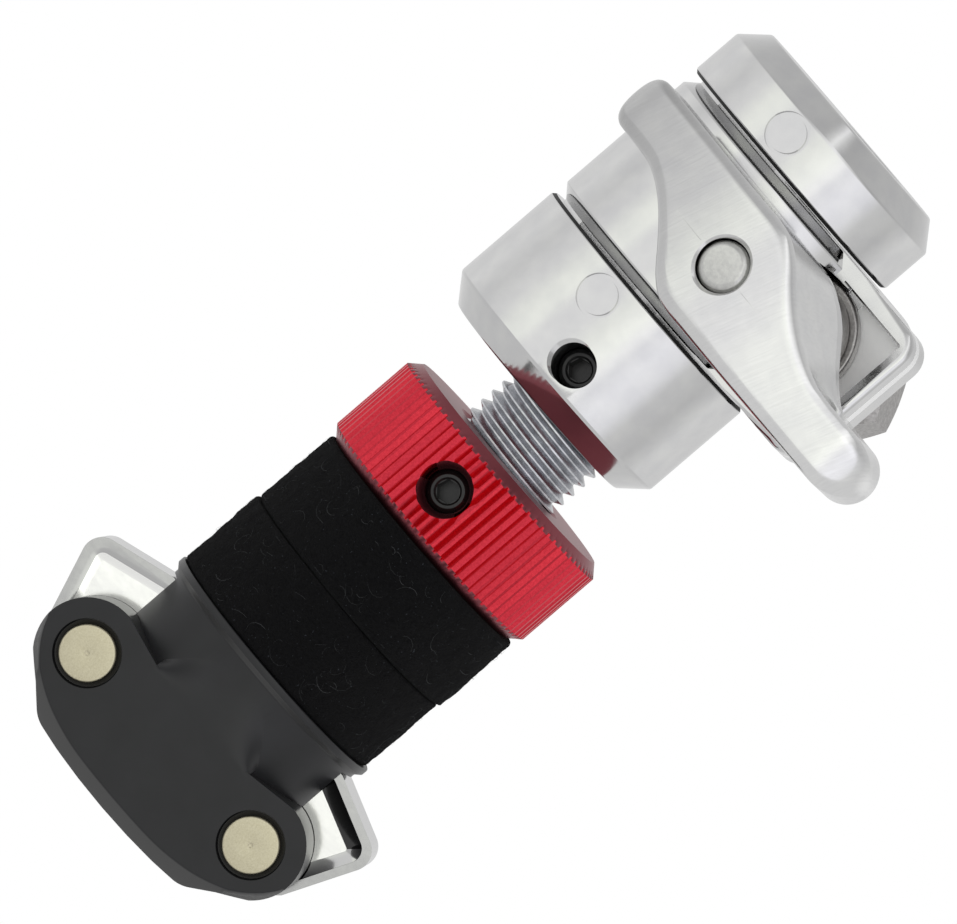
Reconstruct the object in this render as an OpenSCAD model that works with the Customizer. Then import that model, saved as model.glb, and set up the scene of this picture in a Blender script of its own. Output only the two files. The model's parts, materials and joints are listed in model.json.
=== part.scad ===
// Quick-release hi-hat clutch.
// A split clamp grips the stand's pull rod and carries a hollow threaded tube. A knurled nut,
// two felts and a release unit with squeeze levers hold the cymbal on the tube.
// +Z runs up along the pull rod. The origin is the middle of the rod clamp, +X points along
// the clamp's ear, and the wing is on the -Y side. Sizes are in millimetres.

/* [Clamp body] */
// Diameter of the body's round sections
body_d = 26.1; // [25.6:0.1:27]
// Distance of the round sections' axis from the rod axis, away from the ear
body_offset = 3.2; // [2.8:0.1:3.6]
// Height of the middle section, which grips the rod
clamp_h = 15.4; // [14.8:0.2:16.4]
// Height of the top collar
collar_h = 7.4; // [6.4:0.2:9]
// Height of the lower collar, which holds the tube
socket_h = 13.3; // [12.5:0.1:15]
// Width of the saw cuts between the sections
cut_w = 0.6; // [0.4:0.1:0.8]
// Chamfer of the two end faces
end_chamfer = 2.3; // [1:0.1:2.6]
// Reach of the ear from the rod axis
ear_reach = 19.2; // [18.6:0.1:19.8]
// Diameter of the hole that grips the pull rod
rod_hole_d = 6.5; // [6.2:0.1:6.8]

/* [Clamp screw and wing] */
// Distance of the clamp bolt from the rod axis
bolt_x = 9.7; // [9.5:0.1:9.9]
// Diameter of the clamp bolt
bolt_d = 6; // [5:0.5:6]
// Distance from the bolt to each wing tip's centre
wing_reach = 18.6; // [16:0.1:19]
// Height of each wing tip above or below the bolt
wing_rise = 4.1; // [3:0.1:5]
// Distance of the hub's front face from the rod axis
wing_front = 27.2; // [26.5:0.1:28]
// Distance of the wing's back from the rod axis, clear of the body
wing_back = 13.4; // [13.3:0.1:14]

/* [Tube, nut and felts] */
// Outer diameter of the tube's thread
thread_d = 12; // [11.8:0.1:12.2]
// Pitch of the tube's thread
thread_pitch = 1.25; // [1:0.25:1.5]
// Length of thread that shows between the body and the nut
thread_gap = 5.8; // [5.4:0.1:7]
// Diameter of the adjusting nut
nut_d = 25.7; // [24:0.1:27]
// Height of the adjusting nut
nut_h = 10.4; // [9:0.1:12]
// Diameter of the felts
felt_d = 25; // [23:0.5:26]
// Thickness of one felt
felt_h = 8.65; // [7:0.05:10]

/* [Release unit] */
// Turn of the release unit about the rod axis
unit_turn = 20; // [0:1:45]
// Diameter of the flange under the felts
flange_d = 25.4; // [25:0.1:26]
// Diameter of the neck
neck_d = 24.4; // [23.8:0.1:24.6]
// Distance from the rod axis to each lever pin
pin_x = 11.25; // [11:0.05:11.5]
// Diameter of the lever pins
pin_d = 5.2; // [4.6:0.1:5.2]
// Depth of the housing, from its front face to its back face
housing_depth = 24.5; // [24:0.1:25]
// Thickness of the levers
lever_t = 8; // [7:0.2:9]

/* [Hidden] */
$fn = 96;
hull_fn = 32;
play = 0.05;            // radial clearance of turning and sliding pieces
seat = 0.02;            // radial clearance of pieces that are held still
past = 1;               // how far a cutting solid runs past a face

// levels along the rod, from the top down
clamp_top = clamp_h / 2;
body_top = clamp_top + cut_w + collar_h;
socket_top = -clamp_top - cut_w;
body_bottom = socket_top - socket_h;
nut_top = body_bottom - thread_gap;
nut_bottom = nut_top - nut_h;
felt_joint = nut_bottom - felt_h;
flange_top = felt_joint - felt_h;
pin_z = flange_top - 11.3;
housing_bottom = flange_top - 19.4;

// clamp body
body_r = body_d / 2;
clamp_r = body_r - 0.15;
edge_chamfer = 1.1;
spine_x = -9;           // the cuts stop here and leave a spine behind the rod
ear_floor = -2.6;
ear_rim = -5;
ear_back = -0.6;
jaw_front = 0.9;
jaw_back = 11;
jaw_reach = bolt_x + 4.5;
hub_pocket_r = 6.15;
rod_bore_d = rod_hole_d + 0.5;
tube_depth = 11;        // how far the tube goes up into the body

// set screws, M4
screw_d = 4;
screw_key = 2;
screw_key_depth = 1.8;
body_screw_z = body_bottom + 4.9;
body_screw_turn = 8;
nut_screw_turn = 13;

// clamp screw
bolt_hole_d = bolt_d + 0.4;
stem_d = 5;
washer_r = 5.9;
washer_h = 1.2;
hub_back = ear_floor - washer_h;
hub_r = 5.9;
nut_af = 10;
hex_nut_h = 5;

// release unit
slot_t = lever_t + 0.4;
bore_r = thread_d / 2 + 0.15;
slot_top = flange_top - 1.5;
slot_bottom = housing_bottom + 0.7;
wall_x = bore_r + 1.05;  // the barrel's wall between the bore and the springs
window_top = pin_z + 3.5; // below this the slots open into the bore
jaw_r = thread_d / 2 + 0.08;
jaw_t = 2.2;
jaw_top = pin_z - 2.4;
jaw_bottom = pin_z - 5.8;
spring_z = pin_z + 6.6;
spring_r = 1.5;
spring_wire = 0.4;
spring_turns = 6;
spring_pocket_x = 13.4;

function polar(r, a) = [r * cos(a), r * sin(a)];
function arc(c, r, a0, a1, n) = [for (i = [0:n]) c + polar(r, a0 + (a1 - a0) * i / n)];

// A round section of the body, chamfered at both ends
module round_section(r, z0, z1, low_chamfer, high_chamfer) {
    translate([-body_offset, 0, 0])
    rotate_extrude()
    polygon([[0, z0], [r - low_chamfer, z0], [r, z0 + low_chamfer],
        [r, z1 - high_chamfer], [r - high_chamfer, z1], [0, z1]]);
}

// A shape drawn in the X-Z plane, given its thickness along Y from y0 to y1
module along_y(y0, y1) {
    translate([0, y1, 0])
    rotate([90, 0, 0])
    linear_extrude(y1 - y0) children();
}

// A straight cylinder along Y
module y_cylinder(r, y0, y1) {
    along_y(y0, y1) circle(r);
}

// The clamp's ear, with its outer corners cut off
module ear_outline() {
    corner = 1.3;
    polygon([[-body_offset, -clamp_top], [ear_reach - 2 * corner, -clamp_top],
        [ear_reach, -clamp_top + corner], [ear_reach, clamp_top - corner],
        [ear_reach - 2 * corner, clamp_top], [-body_offset, clamp_top]]);
}

module far_jaw_outline() {
    corner = 1.8;
    polygon([[-body_offset, -clamp_top], [jaw_reach - corner, -clamp_top],
        [jaw_reach, -clamp_top + corner], [jaw_reach, clamp_top - corner],
        [jaw_reach - corner, clamp_top], [-body_offset, clamp_top]]);
}

module body_solid() {
    round_section(body_r, clamp_top + cut_w, body_top, 0.4, end_chamfer);
    round_section(clamp_r, -clamp_top, clamp_top, edge_chamfer, edge_chamfer);
    round_section(body_r, body_bottom, socket_top, end_chamfer, 0.4);
    // spine across the two cuts
    intersection() {
        round_section(clamp_r - edge_chamfer, body_bottom + past, body_top - past, 0, 0);
        translate([-body_d, -body_d, body_bottom]) cube([body_d + spine_x, 2 * body_d, body_top - body_bottom]);
    }
    along_y(ear_rim, ear_back) ear_outline();
    // far jaw, which backs the nut
    along_y(jaw_front, jaw_back) far_jaw_outline();
}

module clamp_body() {
    color("silver")
    difference() {
        body_solid();
        // rod hole: close in the clamp section, wider above it and in the tube's socket
        translate([0, 0, -clamp_top - past]) cylinder(d = rod_hole_d, h = clamp_h + 2 * past);
        translate([0, 0, clamp_top]) cylinder(d = rod_bore_d, h = body_top);
        translate([0, 0, body_bottom]) cylinder(d = rod_bore_d, h = -clamp_top - body_bottom);
        translate([0, 0, body_bottom - past]) cylinder(r = thread_d / 2 + seat, h = tube_depth + past);
        // gap between the ear and the far jaw
        translate([0, ear_back, -clamp_top - cut_w])
        cube([ear_reach + past, jaw_front - ear_back, clamp_h + 2 * cut_w]);
        // room for the wing's hub in front of the ear, and the ear's tray
        translate([bolt_x, 0, 0]) y_cylinder(hub_pocket_r, -body_d, ear_floor);
        along_y(-body_d, ear_floor)
        translate([bolt_x, -clamp_top + 1.5]) square([ear_reach - 1.3 - bolt_x, clamp_h - 3]);
        translate([bolt_x, 0, 0]) y_cylinder(bolt_hole_d / 2, -body_d, body_d);
        // threaded hole of the set screw
        translate([0, 0, body_screw_z])
        rotate([0, 0, body_screw_turn])
        y_cylinder(screw_d / 2 + play, -body_d, 0);
    }
}

// Thread drawn as rings of the real pitch and depth
function thread_ring(z) = [
    [thread_d / 2 - 0.61 * thread_pitch, z - thread_pitch / 8],
    [thread_d / 2, z - thread_pitch * 7 / 16],
    [thread_d / 2, z - thread_pitch * 9 / 16],
    [thread_d / 2 - 0.61 * thread_pitch, z - thread_pitch * 7 / 8]];

module threaded_tube() {
    top = body_bottom + tube_depth;
    thread_top = body_bottom - 1;
    tube_end = housing_bottom + 1;
    rings = floor((thread_top - tube_end) / thread_pitch);
    core_r = thread_d / 2 - 0.61 * thread_pitch;
    color("slategray")
    rotate_extrude()
    polygon(concat(
        [[rod_bore_d / 2, tube_end], [rod_bore_d / 2, top], [thread_d / 2 - 0.5, top],
            [thread_d / 2, top - 0.5], [thread_d / 2, body_bottom], [core_r, body_bottom]],
        [for (i = [0:rings - 1]) each thread_ring(thread_top - i * thread_pitch)],
        [[core_r, tube_end]]));
}

// Hex socket set screw along -Y, from r0 out to r1 from the rod axis
module set_screw(z, turn, r0, r1) {
    translate([0, 0, z])
    rotate([0, 0, turn])
    difference() {
        y_cylinder(screw_d / 2, -r1, -r0);
        along_y(-r1 - past, -r1 + screw_key_depth) circle(d = screw_key / cos(30), $fn = 6);
    }
}

module body_set_screw() {
    color("dimgray")
    set_screw(body_screw_z, body_screw_turn, thread_d / 2 + play, body_r - 3.6);
}

// One lobe of the wing, on the side given by s
module wing_lobe(s) {
    mid = [s * wing_reach * 0.52, -s * wing_rise * 0.62];
    tip = [s * wing_reach, -s * wing_rise];
    hull() {
        translate([bolt_x, 0, 0]) y_cylinder(hub_r - 0.4, -wing_front, -wing_back, $fn = hull_fn);
        translate([bolt_x + mid[0], 0, mid[1]]) y_cylinder(3.6, -wing_front + 1.2, -wing_back, $fn = hull_fn);
    }
    hull() {
        translate([bolt_x + mid[0], 0, mid[1]]) y_cylinder(3.6, -wing_front + 1.2, -wing_back, $fn = hull_fn);
        translate([bolt_x + tip[0], 0, tip[1]]) y_cylinder(2.7, -wing_front + 3.4, -wing_back - 1.8, $fn = hull_fn);
    }
}

module wing_handle() {
    color("silver")
    difference() {
        union() {
            wing_lobe(-1);
            wing_lobe(1);
            translate([bolt_x, 0, 0]) y_cylinder(hub_r, -wing_front, hub_back);
        }
        translate([bolt_x, 0, 0]) y_cylinder(stem_d / 2 + seat, -wing_front - past, 0);
        translate([bolt_x, 0, 0]) y_cylinder(bolt_d / 2 + seat, -wing_front + 9, 0);
    }
}

module wing_bolt() {
    color("lightgray")
    translate([bolt_x, 0, 0]) {
        y_cylinder(stem_d / 2, -wing_front + 0.1, -wing_front + 9.5);
        y_cylinder(bolt_d / 2, -wing_front + 9.1, jaw_back + hex_nut_h + 1);
    }
}

module hub_washer() {
    color("gainsboro")
    translate([bolt_x, 0, 0])
    difference() {
        y_cylinder(washer_r, ear_floor - washer_h, ear_floor);
        y_cylinder(bolt_hole_d / 2, -body_d, body_d);
    }
}

module hex_nut() {
    across_corners = nut_af / cos(30);
    color("gray")
    translate([bolt_x, 0, 0])
    difference() {
        intersection() {
            along_y(jaw_back, jaw_back + hex_nut_h) circle(d = across_corners, $fn = 6);
            // both faces are chamfered at the corners
            translate([0, jaw_back, 0])
            rotate([-90, 0, 0])
            rotate_extrude()
            polygon([[0, 0], [nut_af / 2, 0], [across_corners / 2, 0.5],
                [across_corners / 2, hex_nut_h - 0.5], [nut_af / 2, hex_nut_h], [0, hex_nut_h]]);
        }
        y_cylinder(bolt_d / 2 + play, 0, body_d);
    }
}

module adjust_nut() {
    edge = 1;
    color("crimson")
    difference() {
        rotate_extrude()
        polygon([[thread_d / 2 + play, nut_bottom], [nut_d / 2 - edge, nut_bottom],
            [nut_d / 2, nut_bottom + edge], [nut_d / 2, nut_top - edge],
            [nut_d / 2 - edge, nut_top], [thread_d / 2 + play, nut_top]]);
        translate([0, 0, (nut_top + nut_bottom) / 2])
        rotate([0, 0, nut_screw_turn]) {
            y_cylinder(screw_d / 2 + play, -nut_d, 0);
            y_cylinder(2.95, -nut_d, -nut_d / 2 + 0.8);
        }
    }
}

module nut_set_screw() {
    color("dimgray")
    set_screw((nut_top + nut_bottom) / 2, nut_screw_turn, thread_d / 2 + play, nut_d / 2 - 2);
}

module felt(z) {
    rim = 0.5;
    color("black")
    rotate_extrude()
    polygon([[thread_d / 2 + 0.2, z], [felt_d / 2 - rim, z], [felt_d / 2, z + rim],
        [felt_d / 2, z + felt_h - rim], [felt_d / 2 - rim, z + felt_h], [thread_d / 2 + 0.2, z + felt_h]]);
}

module upper_felt() {
    felt(felt_joint);
}

module lower_felt() {
    felt(flange_top);
}

// Front outline of the housing below its neck: two pin bosses joined by a curved lower edge
module boss_outline() {
    boss_r = 5;
    heel = 9.4;
    polygon(concat(
        arc([pin_x, pin_z], boss_r, 90, -42, 12),
        [[heel, housing_bottom], [-heel, housing_bottom]],
        arc([-pin_x, pin_z], boss_r, 222, 90, 12),
        [[-5.7, pin_z + 3.9], [5.7, pin_z + 3.9]]));
}

module release_housing() {
    flange_h = 0.65;
    flare = (flange_d - neck_d) / 2;
    face = housing_depth / 2;
    bevel = 1.4;
    color("#3a3b40")
    rotate([0, 0, unit_turn])
    difference() {
        union() {
            rotate_extrude()
            polygon([[0, housing_bottom], [9.4, housing_bottom], [neck_d / 2, housing_bottom + 1.4],
                [neck_d / 2, flange_top - flange_h - flare], [flange_d / 2, flange_top - flange_h],
                [flange_d / 2, flange_top], [0, flange_top]]);
            along_y(-face, face) boss_outline();
        }
        translate([0, 0, housing_bottom - past]) cylinder(r = bore_r, h = flange_top - housing_bottom + 2 * past);
        // bevels under the front and back faces
        for (s = [-1, 1])
        translate([0, s * face, housing_bottom])
        rotate([45, 0, 0])
        cube([4 * pin_x, bevel * sqrt(2), bevel * sqrt(2)], center = true);
        for (s = [-1, 1]) {
            // slot of each lever, open at the side, and the window of its jaw into the bore
            mirror([s < 0 ? 1 : 0, 0, 0]) {
                translate([wall_x, -slot_t / 2, slot_bottom])
                cube([2 * pin_x, slot_t, slot_top - slot_bottom]);
                translate([bore_r - 2, -slot_t / 2, slot_bottom])
                cube([pin_x, slot_t, window_top - slot_bottom]);
            }
            // pin holes, with a wider mouth at the front
            translate([s * pin_x, 0, pin_z]) {
                y_cylinder(pin_d / 2 + seat, -face - past, face + past);
                y_cylinder(pin_d / 2 + 0.5, -face - past, -face + 0.6);
            }
        }
    }
}

// Side outline of the right lever: the tab at the top, the pivot, and the foot that carries the jaw
module lever_outline() {
    foot_x = jaw_r + jaw_t;
    tab_top = flange_top - 1.7;
    polygon(concat(
        [[9.9, tab_top], [11.7, tab_top], [17, tab_top - 1.95]],
        arc([17.25, tab_top - 3.8], 1.9, 68, -15, 6),
        [[16.3, pin_z - 1.6]],
        arc([pin_x + 0.2, pin_z], 4.75, -35, -75, 6),
        [[foot_x, jaw_bottom], [foot_x, jaw_top], [7.4, pin_z - 1.6], [7.4, pin_z + 2.2],
            [8.6, pin_z + 3.6]]));
}

// The right lever; the left one is its mirror image
module lever() {
    color("silver")
    difference() {
        along_y(-lever_t / 2, lever_t / 2) lever_outline();
        translate([pin_x, 0, pin_z]) y_cylinder(pin_d / 2 + play, -lever_t, lever_t);
        translate([0, 0, spring_z]) rotate([0, 90, 0]) cylinder(r = spring_r + 0.4, h = spring_pocket_x);
    }
}

// Half-nut insert on the right lever's foot, hollowed to the thread
module jaw() {
    jaw_w = 7;
    color("darkgray")
    difference() {
        translate([4, -jaw_w / 2, jaw_bottom]) cube([jaw_r + jaw_t - 4, jaw_w, jaw_top - jaw_bottom]);
        translate([0, 0, jaw_bottom - past]) cylinder(r = jaw_r, h = jaw_top - jaw_bottom + 2 * past);
    }
}

module lever_pin(s) {
    color("tan")
    rotate([0, 0, unit_turn])
    translate([s * pin_x, 0, pin_z])
    y_cylinder(pin_d / 2, -housing_depth / 2 - 0.1, housing_depth / 2);
}

// Coil spring between the barrel's wall and the lever: a six-sided wire swept along a helix
module coil_spring() {
    x0 = wall_x + spring_wire / 2 + seat;
    x1 = spring_pocket_x - spring_wire / 2 - seat;
    steps = 10 * spring_turns;
    sides = 6;
    points = [for (i = [0:steps], j = [0:sides - 1])
        let (turn = 36 * i, side = 360 * j / sides, r = spring_r + spring_wire / 2 * cos(side))
        [x0 + (x1 - x0) * i / steps + spring_wire / 2 * sin(side), r * cos(turn), r * sin(turn)]];
    faces = concat(
        [[for (j = [0:sides - 1]) j]],
        [for (i = [0:steps - 1], j = [0:sides - 1])
            let (k = (j + 1) % sides)
            [sides * i + j, sides * (i + 1) + j, sides * (i + 1) + k, sides * i + k]],
        [[for (j = [sides - 1:-1:0]) sides * steps + j]]);
    color("silver")
    translate([0, 0, spring_z])
    polyhedron(points, faces);
}

// Turns a right-hand piece into the release unit's place; s = -1 mirrors it to the left
module on_side(s) {
    rotate([0, 0, unit_turn])
    mirror([s < 0 ? 1 : 0, 0, 0])
    children();
}

clamp_body();
threaded_tube();
body_set_screw();
wing_handle();
wing_bolt();
hub_washer();
hex_nut();
adjust_nut();
nut_set_screw();
upper_felt();
lower_felt();
release_housing();
on_side(-1) lever();  // left_lever
on_side(1) lever();  // right_lever
on_side(-1) jaw();  // left_jaw
on_side(1) jaw();  // right_jaw
lever_pin(-1);  // left_pin
lever_pin(1);  // right_pin
on_side(-1) coil_spring();  // left_spring
on_side(1) coil_spring();  // right_spring
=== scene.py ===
"""Looks of the quick-release hi-hat clutch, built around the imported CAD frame.

Shapes are worked out in millimetres in the part's own frame: +Z up along the pull rod, +X along
the clamp's ear, the wing on the -Y side. They become metres only when a mesh is made.
"""

import json
import math
import random

import bmesh
import bpy
from mathutils import Matrix, Vector, noise


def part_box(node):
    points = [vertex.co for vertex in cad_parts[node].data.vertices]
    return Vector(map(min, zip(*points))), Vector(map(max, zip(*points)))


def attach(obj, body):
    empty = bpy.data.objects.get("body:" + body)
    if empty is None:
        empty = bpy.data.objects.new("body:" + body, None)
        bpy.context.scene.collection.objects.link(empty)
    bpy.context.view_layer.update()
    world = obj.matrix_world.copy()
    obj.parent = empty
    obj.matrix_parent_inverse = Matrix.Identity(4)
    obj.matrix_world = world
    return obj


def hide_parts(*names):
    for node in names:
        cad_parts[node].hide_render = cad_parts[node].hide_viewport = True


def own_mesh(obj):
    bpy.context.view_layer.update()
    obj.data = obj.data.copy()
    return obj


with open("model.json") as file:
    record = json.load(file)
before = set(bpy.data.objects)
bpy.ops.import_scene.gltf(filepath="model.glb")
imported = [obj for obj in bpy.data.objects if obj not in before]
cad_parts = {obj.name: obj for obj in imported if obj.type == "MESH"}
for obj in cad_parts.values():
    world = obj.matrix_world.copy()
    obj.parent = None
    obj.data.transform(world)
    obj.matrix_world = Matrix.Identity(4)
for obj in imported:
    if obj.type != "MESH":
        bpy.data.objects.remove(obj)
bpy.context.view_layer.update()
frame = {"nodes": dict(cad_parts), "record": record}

MM = 0.001
TURN = 2 * math.pi
RECORD = frame["record"]


# ---------------------------------------------------------------- sizes from the frame

def box_mm(node):
    """Lowest and highest corner of a CAD node, in millimetres."""
    low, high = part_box(node)
    return low / MM, high / MM


def mount_dims(name):
    """Dimensions of a mount in the record, in millimetres."""
    return next(m for m in RECORD["mounts"] if m["name"] == name)["dims"]


BODY_LOW, BODY_HIGH = box_mm("clamp_body")
BODY_R = BODY_HIGH.y
BODY_X = BODY_LOW.x + BODY_R
CUT_W = 0.3  # the saw cuts' width; the CAD's cuts are twice as wide
CLAMP_TOP = mount_dims("rod_clamp")["length_mm"] / 2 + CUT_W
CLAMP_R = BODY_R - 0.15
CLAMP_EDGE = 1.1
SPINE_X = -9  # the saw cuts end here, and the uncut spine begins
ROD_R = mount_dims("rod_clamp")["r_mm"]
BORE_R = mount_dims("top_bore")["r_mm"]

BOLT_LOW, BOLT_HIGH = box_mm("wing_bolt")
BOLT_X = (BOLT_LOW.x + BOLT_HIGH.x) / 2
BOLT_R = (BOLT_HIGH.x - BOLT_LOW.x) / 2
WING_LOW, WING_HIGH = box_mm("wing_handle")
WASHER_LOW, WASHER_HIGH = box_mm("hub_washer")
EAR_FLOOR = WASHER_HIGH.y  # the ear's recessed face, under the washer
EAR_RIM = EAR_FLOOR - 2.4
EAR_BACK = EAR_FLOOR + 2
HEX_LOW, HEX_HIGH = box_mm("hex_nut")
JAW_BACK = HEX_LOW.y

TUBE_LOW, TUBE_HIGH = box_mm("threaded_tube")
THREAD_R = TUBE_HIGH.x
PITCH = 1.25
NUT_LOW, NUT_HIGH = box_mm("adjust_nut")
NUT_R = NUT_HIGH.x
FELT_R = box_mm("lower_felt")[1].x

HOUSING_LOW, HOUSING_HIGH = box_mm("release_housing")
UNIT_TURN = math.radians(20)
LEVER_HALF = 4.0
FLANGE_R = 12.7
NECK_R = 12.2
PIN_X = 11.25
PIN_R = 2.6
PIN_Z = HOUSING_HIGH.z - 11.3
SLOT_HALF = 4.2
BARREL_R = THREAD_R + 0.15
FACE = 12.25  # the plates' front faces, from the rod's axis
HEEL = 9.4

SCREW_R = 2
BODY_SCREW_TURN = 8  # degrees from the -Y side
NUT_SCREW_TURN = 13
BEYOND = 20  # cutters reach this far, well outside the part


# ---------------------------------------------------------------- outlines and meshes

def polar(r, angle):
    """Cartesian coordinates of a polar point."""
    return r * math.cos(angle), r * math.sin(angle)


def arc(cx, cy, r, start, end, steps):
    """Points of an arc; the angles are in degrees."""
    points = (polar(r, math.radians(start + (end - start) * i / steps)) for i in range(steps + 1))
    return [(cx + x, cy + y) for x, y in points]


def rounded(corners, steps=6):
    """A closed outline whose corners (x, y, radius) are turned into arcs; (x, y) stays sharp."""
    out = []
    count = len(corners)
    for i, corner in enumerate(corners):
        here = Vector(corner[:2])
        radius = corner[2] if len(corner) > 2 else 0
        if radius == 0:
            out.append(tuple(here))
            continue
        before = (Vector(corners[i - 1][:2]) - here).normalized()
        after = (Vector(corners[(i + 1) % count][:2]) - here).normalized()
        half = before.angle(after) / 2
        centre = here + (before + after).normalized() * radius / math.sin(half)
        start = here + before * radius / math.tan(half) - centre
        end = here + after * radius / math.tan(half) - centre
        sweep = start.angle_signed(end)
        for k in range(steps + 1):
            out.append(tuple(centre + Matrix.Rotation(-sweep * k / steps, 2) @ start))
    return out


def spline(points, steps):
    """A smooth Catmull-Rom curve through the points."""
    out = []
    ends = [points[0], *points, points[-1]]
    for i in range(1, len(ends) - 2):
        a, b, c, d = (Vector(p) for p in ends[i - 1:i + 3])
        for k in range(steps):
            t = k / steps
            out.append(tuple(0.5 * (2 * b + (c - a) * t + (2 * a - 5 * b + 4 * c - d) * t * t
                                    + (3 * b - a - 3 * c + d) * t ** 3)))
    out.append(points[-1])
    return out


def smoothstep(low, high, value):
    """0 up to low, 1 from high, and a smooth rise between them."""
    t = max(0.0, min(1.0, (value - low) / (high - low)))
    return t * t * (3 - 2 * t)


def new_object(name, verts, faces, smooth=35):
    """A mesh object from points in millimetres, smooth except where faces meet sharply."""
    mesh = bpy.data.meshes.new(name)
    mesh.from_pydata([Vector(v) * MM for v in verts], [], faces)
    obj = bpy.data.objects.new(name, mesh)
    bpy.context.scene.collection.objects.link(obj)
    tidy(obj, smooth)
    return obj


def tidy(obj, smooth=35):
    """Merges doubled points, turns faces outwards and sets which edges look sharp."""
    bm = bmesh.new()
    bm.from_mesh(obj.data)
    bmesh.ops.remove_doubles(bm, verts=bm.verts, dist=1e-7)
    bmesh.ops.dissolve_degenerate(bm, edges=bm.edges, dist=1e-7)
    bmesh.ops.recalc_face_normals(bm, faces=bm.faces)
    bm.to_mesh(obj.data)
    bm.free()
    soften(obj, smooth)


def soften(obj, smooth=35):
    """Shades a mesh smooth except at edges sharper than an angle in degrees."""
    obj.data.shade_smooth()
    obj.data.set_sharp_from_angle(angle=math.radians(smooth))


def about_z(x=0):
    """Places a lathe's points round an axis along Z."""
    return lambda r, turn, h: (x + r * math.cos(turn), r * math.sin(turn), h)


def about_y(x, z):
    """Places a lathe's points round an axis along Y."""
    return lambda r, turn, h: (x + r * math.cos(turn), h, z + r * math.sin(turn))


def ring_faces(size, spans):
    """Faces that join rings of size points each, one ring more than spans, and close both ends."""
    faces = [[size * i + k, size * i + (k + 1) % size, size * (i + 1) + (k + 1) % size, size * (i + 1) + k]
             for i in range(spans) for k in range(size)]
    return faces + [list(range(size)), list(range(size * (spans + 1) - 1, size * spans - 1, -1))]


def lathe(name, profile, place, sides=160, wave=None, smooth=35):
    """A closed profile of (radius, height) points turned about an axis; wave may vary the radius."""
    verts, faces, rows = [], [], []
    for r, h in profile:
        if r < 1e-6:
            rows.append([len(verts)] * sides)
            verts.append(place(0, 0, h))
            continue
        rows.append(list(range(len(verts), len(verts) + sides)))
        for j in range(sides):
            turn = TURN * j / sides
            radius = wave(r, turn, h) if wave else r
            verts.append(place(radius, turn, h))
    for i, row in enumerate(rows):
        following = rows[(i + 1) % len(rows)]
        if row[0] == row[-1] and following[0] == following[-1]:
            continue
        for j in range(sides):
            k = (j + 1) % sides
            loop = [row[j], row[k], following[k], following[j]]
            faces.append(list(dict.fromkeys(loop)))
    return new_object(name, verts, faces, smooth)


def prism(name, outline, y0, y1, smooth=35, shear=0):
    """An outline of (x, z) points with thickness along Y; shear moves it along Z as Y grows."""
    verts = [(x, y0, z) for x, z in outline] + [(x, y1, z + shear * (y1 - y0)) for x, z in outline]
    return new_object(name, verts, ring_faces(len(outline), 1), smooth)


def bevel_where(obj, chosen, width, segments=4, smooth=35):
    """Rounds the sharp edges whose two ends, in millimetres, both pass a test."""
    bm = bmesh.new()
    bm.from_mesh(obj.data)
    edges = []
    for edge in bm.edges:
        if len(edge.link_faces) != 2 or edge.calc_face_angle() < math.radians(30):
            continue
        if all(chosen(v.co / MM) for v in edge.verts):
            edges.append(edge)
    bmesh.ops.bevel(bm, geom=edges, offset=width * MM, segments=segments, profile=0.5,
                    affect="EDGES", clamp_overlap=True)
    bm.to_mesh(obj.data)
    bm.free()
    tidy(obj, smooth)
    return obj


def boolean(obj, operation, tools, smooth=35):
    """Joins the tools to obj, cuts them from it or keeps what they share, and removes the tools."""
    for tool in tools:
        modifier = obj.modifiers.new("boolean", "BOOLEAN")
        modifier.operation = operation
        modifier.solver = "EXACT"
        modifier.object = tool
    bpy.context.view_layer.update()
    mesh = bpy.data.meshes.new_from_object(obj.evaluated_get(bpy.context.evaluated_depsgraph_get()))
    obj.modifiers.clear()
    obj.data = mesh
    for tool in tools:
        bpy.data.objects.remove(tool)
    tidy(obj, smooth)
    return obj


def join(obj, *others):
    """Puts the others' meshes into obj."""
    bm = bmesh.new()
    for part in (obj, *others):
        bm.from_mesh(part.data)
    bm.to_mesh(obj.data)
    bm.free()
    for part in others:
        bpy.data.objects.remove(part)
    soften(obj)
    return obj


def turned(obj, angle):
    """Turns a mesh about the rod axis."""
    obj.data.transform(Matrix.Rotation(angle, 4, "Z"))
    return obj


def sagged(obj):
    """Lets the wing and its bolt hang in the play of the bolt hole, tilted about the nut."""
    sag, end_play = math.radians(0.57), 0.06
    pivot = Matrix.Translation((0, (HEX_LOW.y + 2.5) * MM, 0))
    back = Matrix.Translation((0, end_play * MM, 0))
    obj.data.transform(back @ pivot @ Matrix.Rotation(sag, 4, "X") @ pivot.inverted())
    return obj


def mirrored(obj, axis=(1, 0, 0)):
    """Mirrors a mesh across the plane through the origin that an axis is normal to."""
    obj.data.transform(Matrix.Scale(-1, 4, axis))
    obj.data.flip_normals()
    return obj


def rod_cutter(r, z0, z1, flare_low=0, flare_high=0):
    """A cylinder along Z that may flare at its ends, for cutting a bore with chamfered mouths."""
    profile = [(0, z0 - 1), (r + flare_low + 1 if flare_low else r, z0 - 1)]
    if flare_low:
        profile += [(r + flare_low, z0), (r, z0 + flare_low)]
    if flare_high:
        profile += [(r, z1 - flare_high), (r + flare_high, z1)]
    profile += [(r + flare_high + 1 if flare_high else r, z1 + 1), (0, z1 + 1)]
    return lathe("cutter", profile, about_z(), 96)


def y_cutter(r, y0, y1, x, z):
    """A plain cylinder along Y."""
    return lathe("cutter", [(0, y0), (r, y0), (r, y1), (0, y1)], about_y(x, z), 64)


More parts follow.
